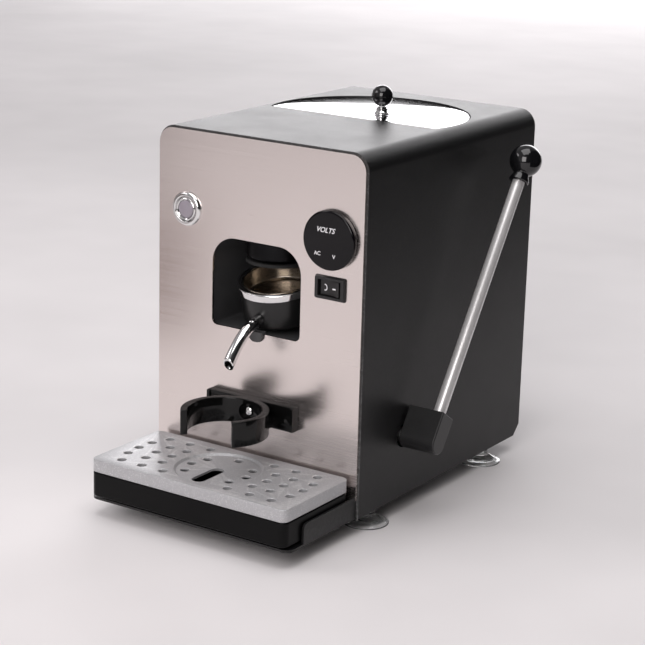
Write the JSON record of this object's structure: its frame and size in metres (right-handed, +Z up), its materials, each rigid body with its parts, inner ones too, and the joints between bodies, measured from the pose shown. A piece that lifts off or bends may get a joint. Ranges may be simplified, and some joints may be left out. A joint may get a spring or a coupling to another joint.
{
  "type": "espresso machine",
  "caption": "Compact boxy pod espresso machine with a brushed front, brewing window, hinged portafilter, side lever, cup ring and drip tray on suction feet.",
  "frame": {"origin": "centre of the whole machine seen from above, on the surface its suction feet stand on", "axes": "+X to the right side with the lever, +Y towards the back, +Z up"},
  "size_m": [0.1912, 0.2808, 0.2579],
  "materials": {
    "powder_coat": "fine texture powder coat, satin black",
    "brushed_steel": "brushed along its width",
    "steel": "plain, drawn or turned",
    "chrome": "polished",
    "black_plastic": "satin moulded",
    "gloss_black": "polished",
    "silver_plastic": "satin silver paint over plastic",
    "clear_rubber": "clear soft vinyl",
    "black_rubber": "moulded",
    "lens_grey": "tinted lens",
    "dark_lens": "dark window",
    "dark_metal": "black anodised",
    "brass": "machined",
    "aluminium": "cast",
    "tank_plastic": "translucent moulding",
    "hose_white": "smooth silicone",
    "board_green": "circuit board"
  },
  "bodies": {
    "body": {"cover": "powder_coat", "front_panel": "brushed_steel", "rear_panel": "powder_coat", "base_plate": "powder_coat", "tray_bracket": "powder_coat", "rear_screw_1": "steel", "rear_screw_2": "steel", "rear_screw_3": "steel", "rear_screw_4": "steel", "suction_foot_front_left": "clear_rubber", "suction_foot_front_right": "clear_rubber", "suction_foot_rear_left": "clear_rubber", "suction_foot_rear_right": "clear_rubber", "cup_holder": "black_plastic", "cup_holder_screw": "chrome", "button_bezel": "chrome", "button_nut": "steel", "gauge_housing": "gloss_black", "gauge_lens": "dark_lens", "gauge_nut": "black_plastic", "rocker_housing": "black_plastic", "brew_chamber": "black_plastic", "group_frame": "steel", "group_head": "dark_metal", "group_seal": "black_rubber", "shower_screen": "steel", "boiler": "aluminium", "thermostat": "steel", "hinge_pin": "steel", "rod_guide": "brass", "shaft_bush_left": "brass", "shaft_bush_right": "brass", "water_tank": "tank_plastic", "tank_shelf": "steel", "pump_coil": "black_plastic", "pump_barrel": "brass", "pump_mount_front": "black_rubber", "pump_mount_rear": "black_rubber", "pressure_hose": "hose_white", "suction_hose": "hose_white", "control_board": "board_green", "power_inlet": "black_plastic"},
    "lever": {"lever_hub": "black_plastic", "lever_rod": "brushed_steel", "lever_ball": "gloss_black", "lever_shaft": "steel", "lever_cam": "steel"},
    "portafilter": {"portafilter_body": "black_plastic", "filter_ring": "chrome", "filter_basket": "steel", "spout": "chrome"},
    "push_rod": {"push_rod": "steel"},
    "button": {"button_cap": "chrome", "button_lens": "lens_grey"},
    "rocker": {"rocker_key": "black_plastic"},
    "drip_tray": {"drip_basin": "black_plastic"},
    "drip_grid": {"drip_grid": "silver_plastic"},
    "lid": {"lid": "chrome", "lid_knob_neck": "chrome", "lid_knob": "gloss_black"}
  },
  "joints": [
    {"name": "lever_turn", "type": "hinge", "parent": "body", "child": "lever", "pos_m": [-0.01185, -0.0158, 0.052], "axis": [1, 0, 0], "range_deg": [0, 90]},
    {"name": "portafilter_tilt", "type": "hinge", "parent": "body", "child": "portafilter", "pos_m": [-0.01185, -0.0033, 0.158], "axis": [1, 0, 0], "range_deg": [-13.5, 0]},
    {"name": "push_rod_slide", "type": "slide", "parent": "body", "child": "push_rod", "axis": [0, 0, 1], "range_m": [0, 0.00213]},
    {"name": "button_press", "type": "slide", "parent": "body", "child": "button", "axis": [0, 1, 0], "range_m": [0, 0.0015], "stiffness_N_per_m": 400},
    {"name": "rocker_tip", "type": "hinge", "parent": "body", "child": "rocker", "pos_m": [0.04245, -0.0684, 0.1545], "axis": [0, 0, 1], "range_deg": [0, 18]},
    {"name": "drip_tray_slide", "type": "slide", "parent": "body", "child": "drip_tray", "axis": [0, -1, 0], "range_m": [0, 0.1]},
    {"name": "drip_grid_lift", "type": "slide", "parent": "drip_tray", "child": "drip_grid", "axis": [0, 0, 1], "range_m": [0, 0.018]},
    {"name": "lid_lift", "type": "slide", "parent": "body", "child": "lid", "axis": [0, 0, 1], "range_m": [0, 0.05]}
  ],
  "couplings": [
    {"joint": "portafilter_tilt", "follows": "lever_turn", "ratio": -0.15},
    {"joint": "push_rod_slide", "follows": "lever_turn", "m_per_rad": 0.001354}
  ]
}
